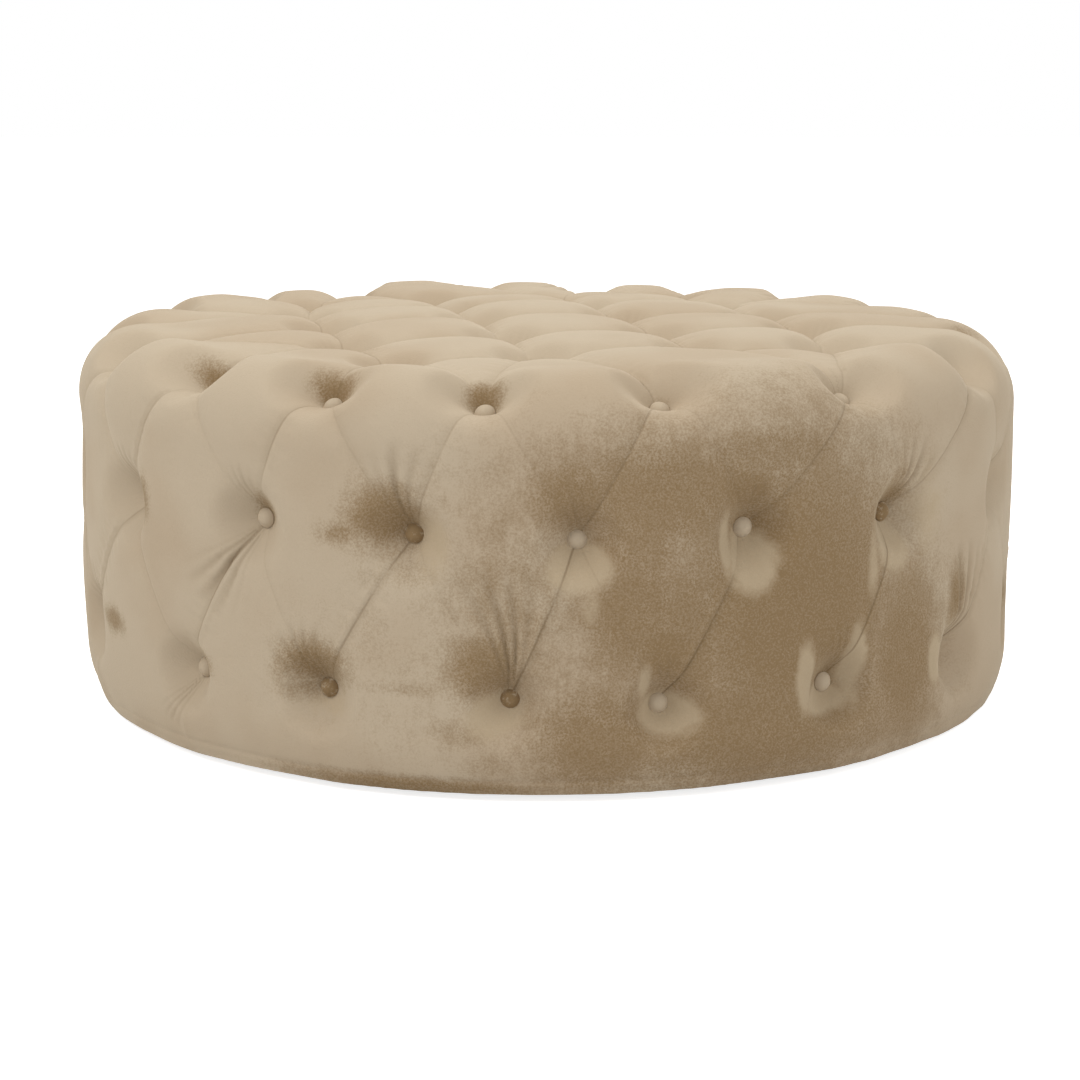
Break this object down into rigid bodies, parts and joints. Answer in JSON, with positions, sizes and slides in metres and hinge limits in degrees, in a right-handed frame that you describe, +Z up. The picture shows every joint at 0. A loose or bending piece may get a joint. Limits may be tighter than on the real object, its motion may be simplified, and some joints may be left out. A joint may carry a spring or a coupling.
{
  "type": "tufted pouf",
  "caption": "Large round legless pouf ottoman, deep buttoned all over in velvet, with a plywood drum, foam, tied buttons, dust cover and low glides.",
  "frame": {"origin": "centre of the pouf on the floor, under the glides", "axes": "+Z up, -Y towards the front as pictured"},
  "size_m": [1.0702, 1.069, 0.4265],
  "materials": {
    "velvet": "soft velvet pile",
    "steel": "zinc plated",
    "twine": "waxed twine",
    "foam": "open foam",
    "fibre": "soft fibre",
    "cambric": "thin black cloth",
    "plywood": "raw plywood",
    "glide": "black plastic"
  },
  "bodies": {
    "root": {"base_ring": "plywood", "base_screws": "steel", "button_backs": "steel", "cover_staples": "steel", "deck_screws": "steel", "dust_cover": "cambric", "dust_cover_staples": "steel", "fibre_wadding": "fibre", "glide_1": "glide", "glide_2": "glide", "glide_3": "glide", "glide_4": "glide", "glide_5": "glide", "glide_6": "glide", "glide_nails": "steel", "left_stretcher": "plywood", "left_wall": "plywood", "lower_side_buttons": "velvet", "post_1": "plywood", "post_2": "plywood", "post_3": "plywood", "post_4": "plywood", "post_5": "plywood", "post_6": "plywood", "right_stretcher": "plywood", "right_wall": "plywood", "rim_buttons": "velvet", "side_foam": "foam", "stretcher_screws": "steel", "tie_washers": "steel", "top_buttons": "velvet", "top_deck": "plywood", "top_foam": "foam", "tufting_twine": "twine", "upper_side_buttons": "velvet", "velvet_cover": "velvet"}
  },
  "joints": []
}
